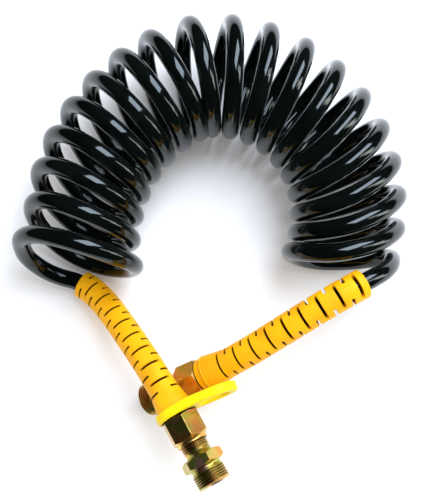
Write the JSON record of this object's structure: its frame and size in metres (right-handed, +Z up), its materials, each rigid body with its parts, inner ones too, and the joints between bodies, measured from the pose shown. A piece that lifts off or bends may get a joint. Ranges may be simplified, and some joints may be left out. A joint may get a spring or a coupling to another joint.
{
  "type": "coiled air hose",
  "caption": "Coiled air-brake hose, sprung into an arch, with slotted anti-kink boots, union nuts, screwed adaptors and a hang loop",
  "frame": {"origin": "middle of the footprint on the surface that the hose lies on", "axes": "+Z up; +Y towards the top of the arch of the coil; the two fittings reach towards -Y; +X towards the right-hand tail"},
  "size_m": [0.2648, 0.3157, 0.084],
  "materials": {
    "hose_black": "gloss",
    "boot_yellow": "satin",
    "loop_yellow": "satin",
    "yellow_zinc": "polished",
    "brass": "satin",
    "seal_rubber": "matte"
  },
  "bodies": {
    "root": {"hose_coil": "hose_black", "left_hose_tail": "hose_black", "left_anti_kink_boot": "boot_yellow", "left_clamping_ring": "brass", "left_thrust_ring": "brass", "left_tube_insert": "brass", "right_hose_tail": "hose_black", "right_anti_kink_boot": "boot_yellow", "right_clamping_ring": "brass", "right_thrust_ring": "brass", "right_tube_insert": "brass", "left_hang_loop": "loop_yellow"},
    "left_nut": {"left_union_nut": "yellow_zinc"},
    "left_seal": {"left_seal_ring": "seal_rubber"},
    "left_end": {"left_adaptor": "yellow_zinc"},
    "right_nut": {"right_union_nut": "yellow_zinc"},
    "right_seal": {"right_seal_ring": "seal_rubber"},
    "right_end": {"right_adaptor": "yellow_zinc"}
  },
  "joints": [
    {"name": "left_nut_spin", "type": "hinge", "parent": "root", "child": "left_nut", "pos_m": [-0.0218, -0.1132, 0.0535], "axis": [0.4858, -0.8587, 0.1633], "continuous": true},
    {"name": "left_adaptor_travel", "type": "slide", "parent": "left_nut", "child": "left_seal", "axis": [0.4858, -0.8587, 0.1633], "range_m": [0, 0.006]},
    {"name": "left_adaptor_unscrew", "type": "hinge", "parent": "left_seal", "child": "left_end", "pos_m": [-0.0218, -0.1132, 0.0535], "axis": [0.4858, -0.8587, 0.1633], "range_deg": [0, 1440]},
    {"name": "right_nut_spin", "type": "hinge", "parent": "root", "child": "right_nut", "pos_m": [-0.0066, -0.088, 0.036], "axis": [-0.809, -0.3434, -0.4772], "continuous": true},
    {"name": "right_adaptor_travel", "type": "slide", "parent": "right_nut", "child": "right_seal", "axis": [-0.809, -0.3434, -0.4772], "range_m": [0, 0.006]},
    {"name": "right_adaptor_unscrew", "type": "hinge", "parent": "right_seal", "child": "right_end", "pos_m": [-0.0066, -0.088, 0.036], "axis": [-0.809, -0.3434, -0.4772], "range_deg": [0, 1440]}
  ],
  "couplings": [
    {"joint": "left_adaptor_travel", "follows": "left_adaptor_unscrew", "m_per_rad": 0.00023873},
    {"joint": "right_adaptor_travel", "follows": "right_adaptor_unscrew", "m_per_rad": 0.00023873}
  ]
}
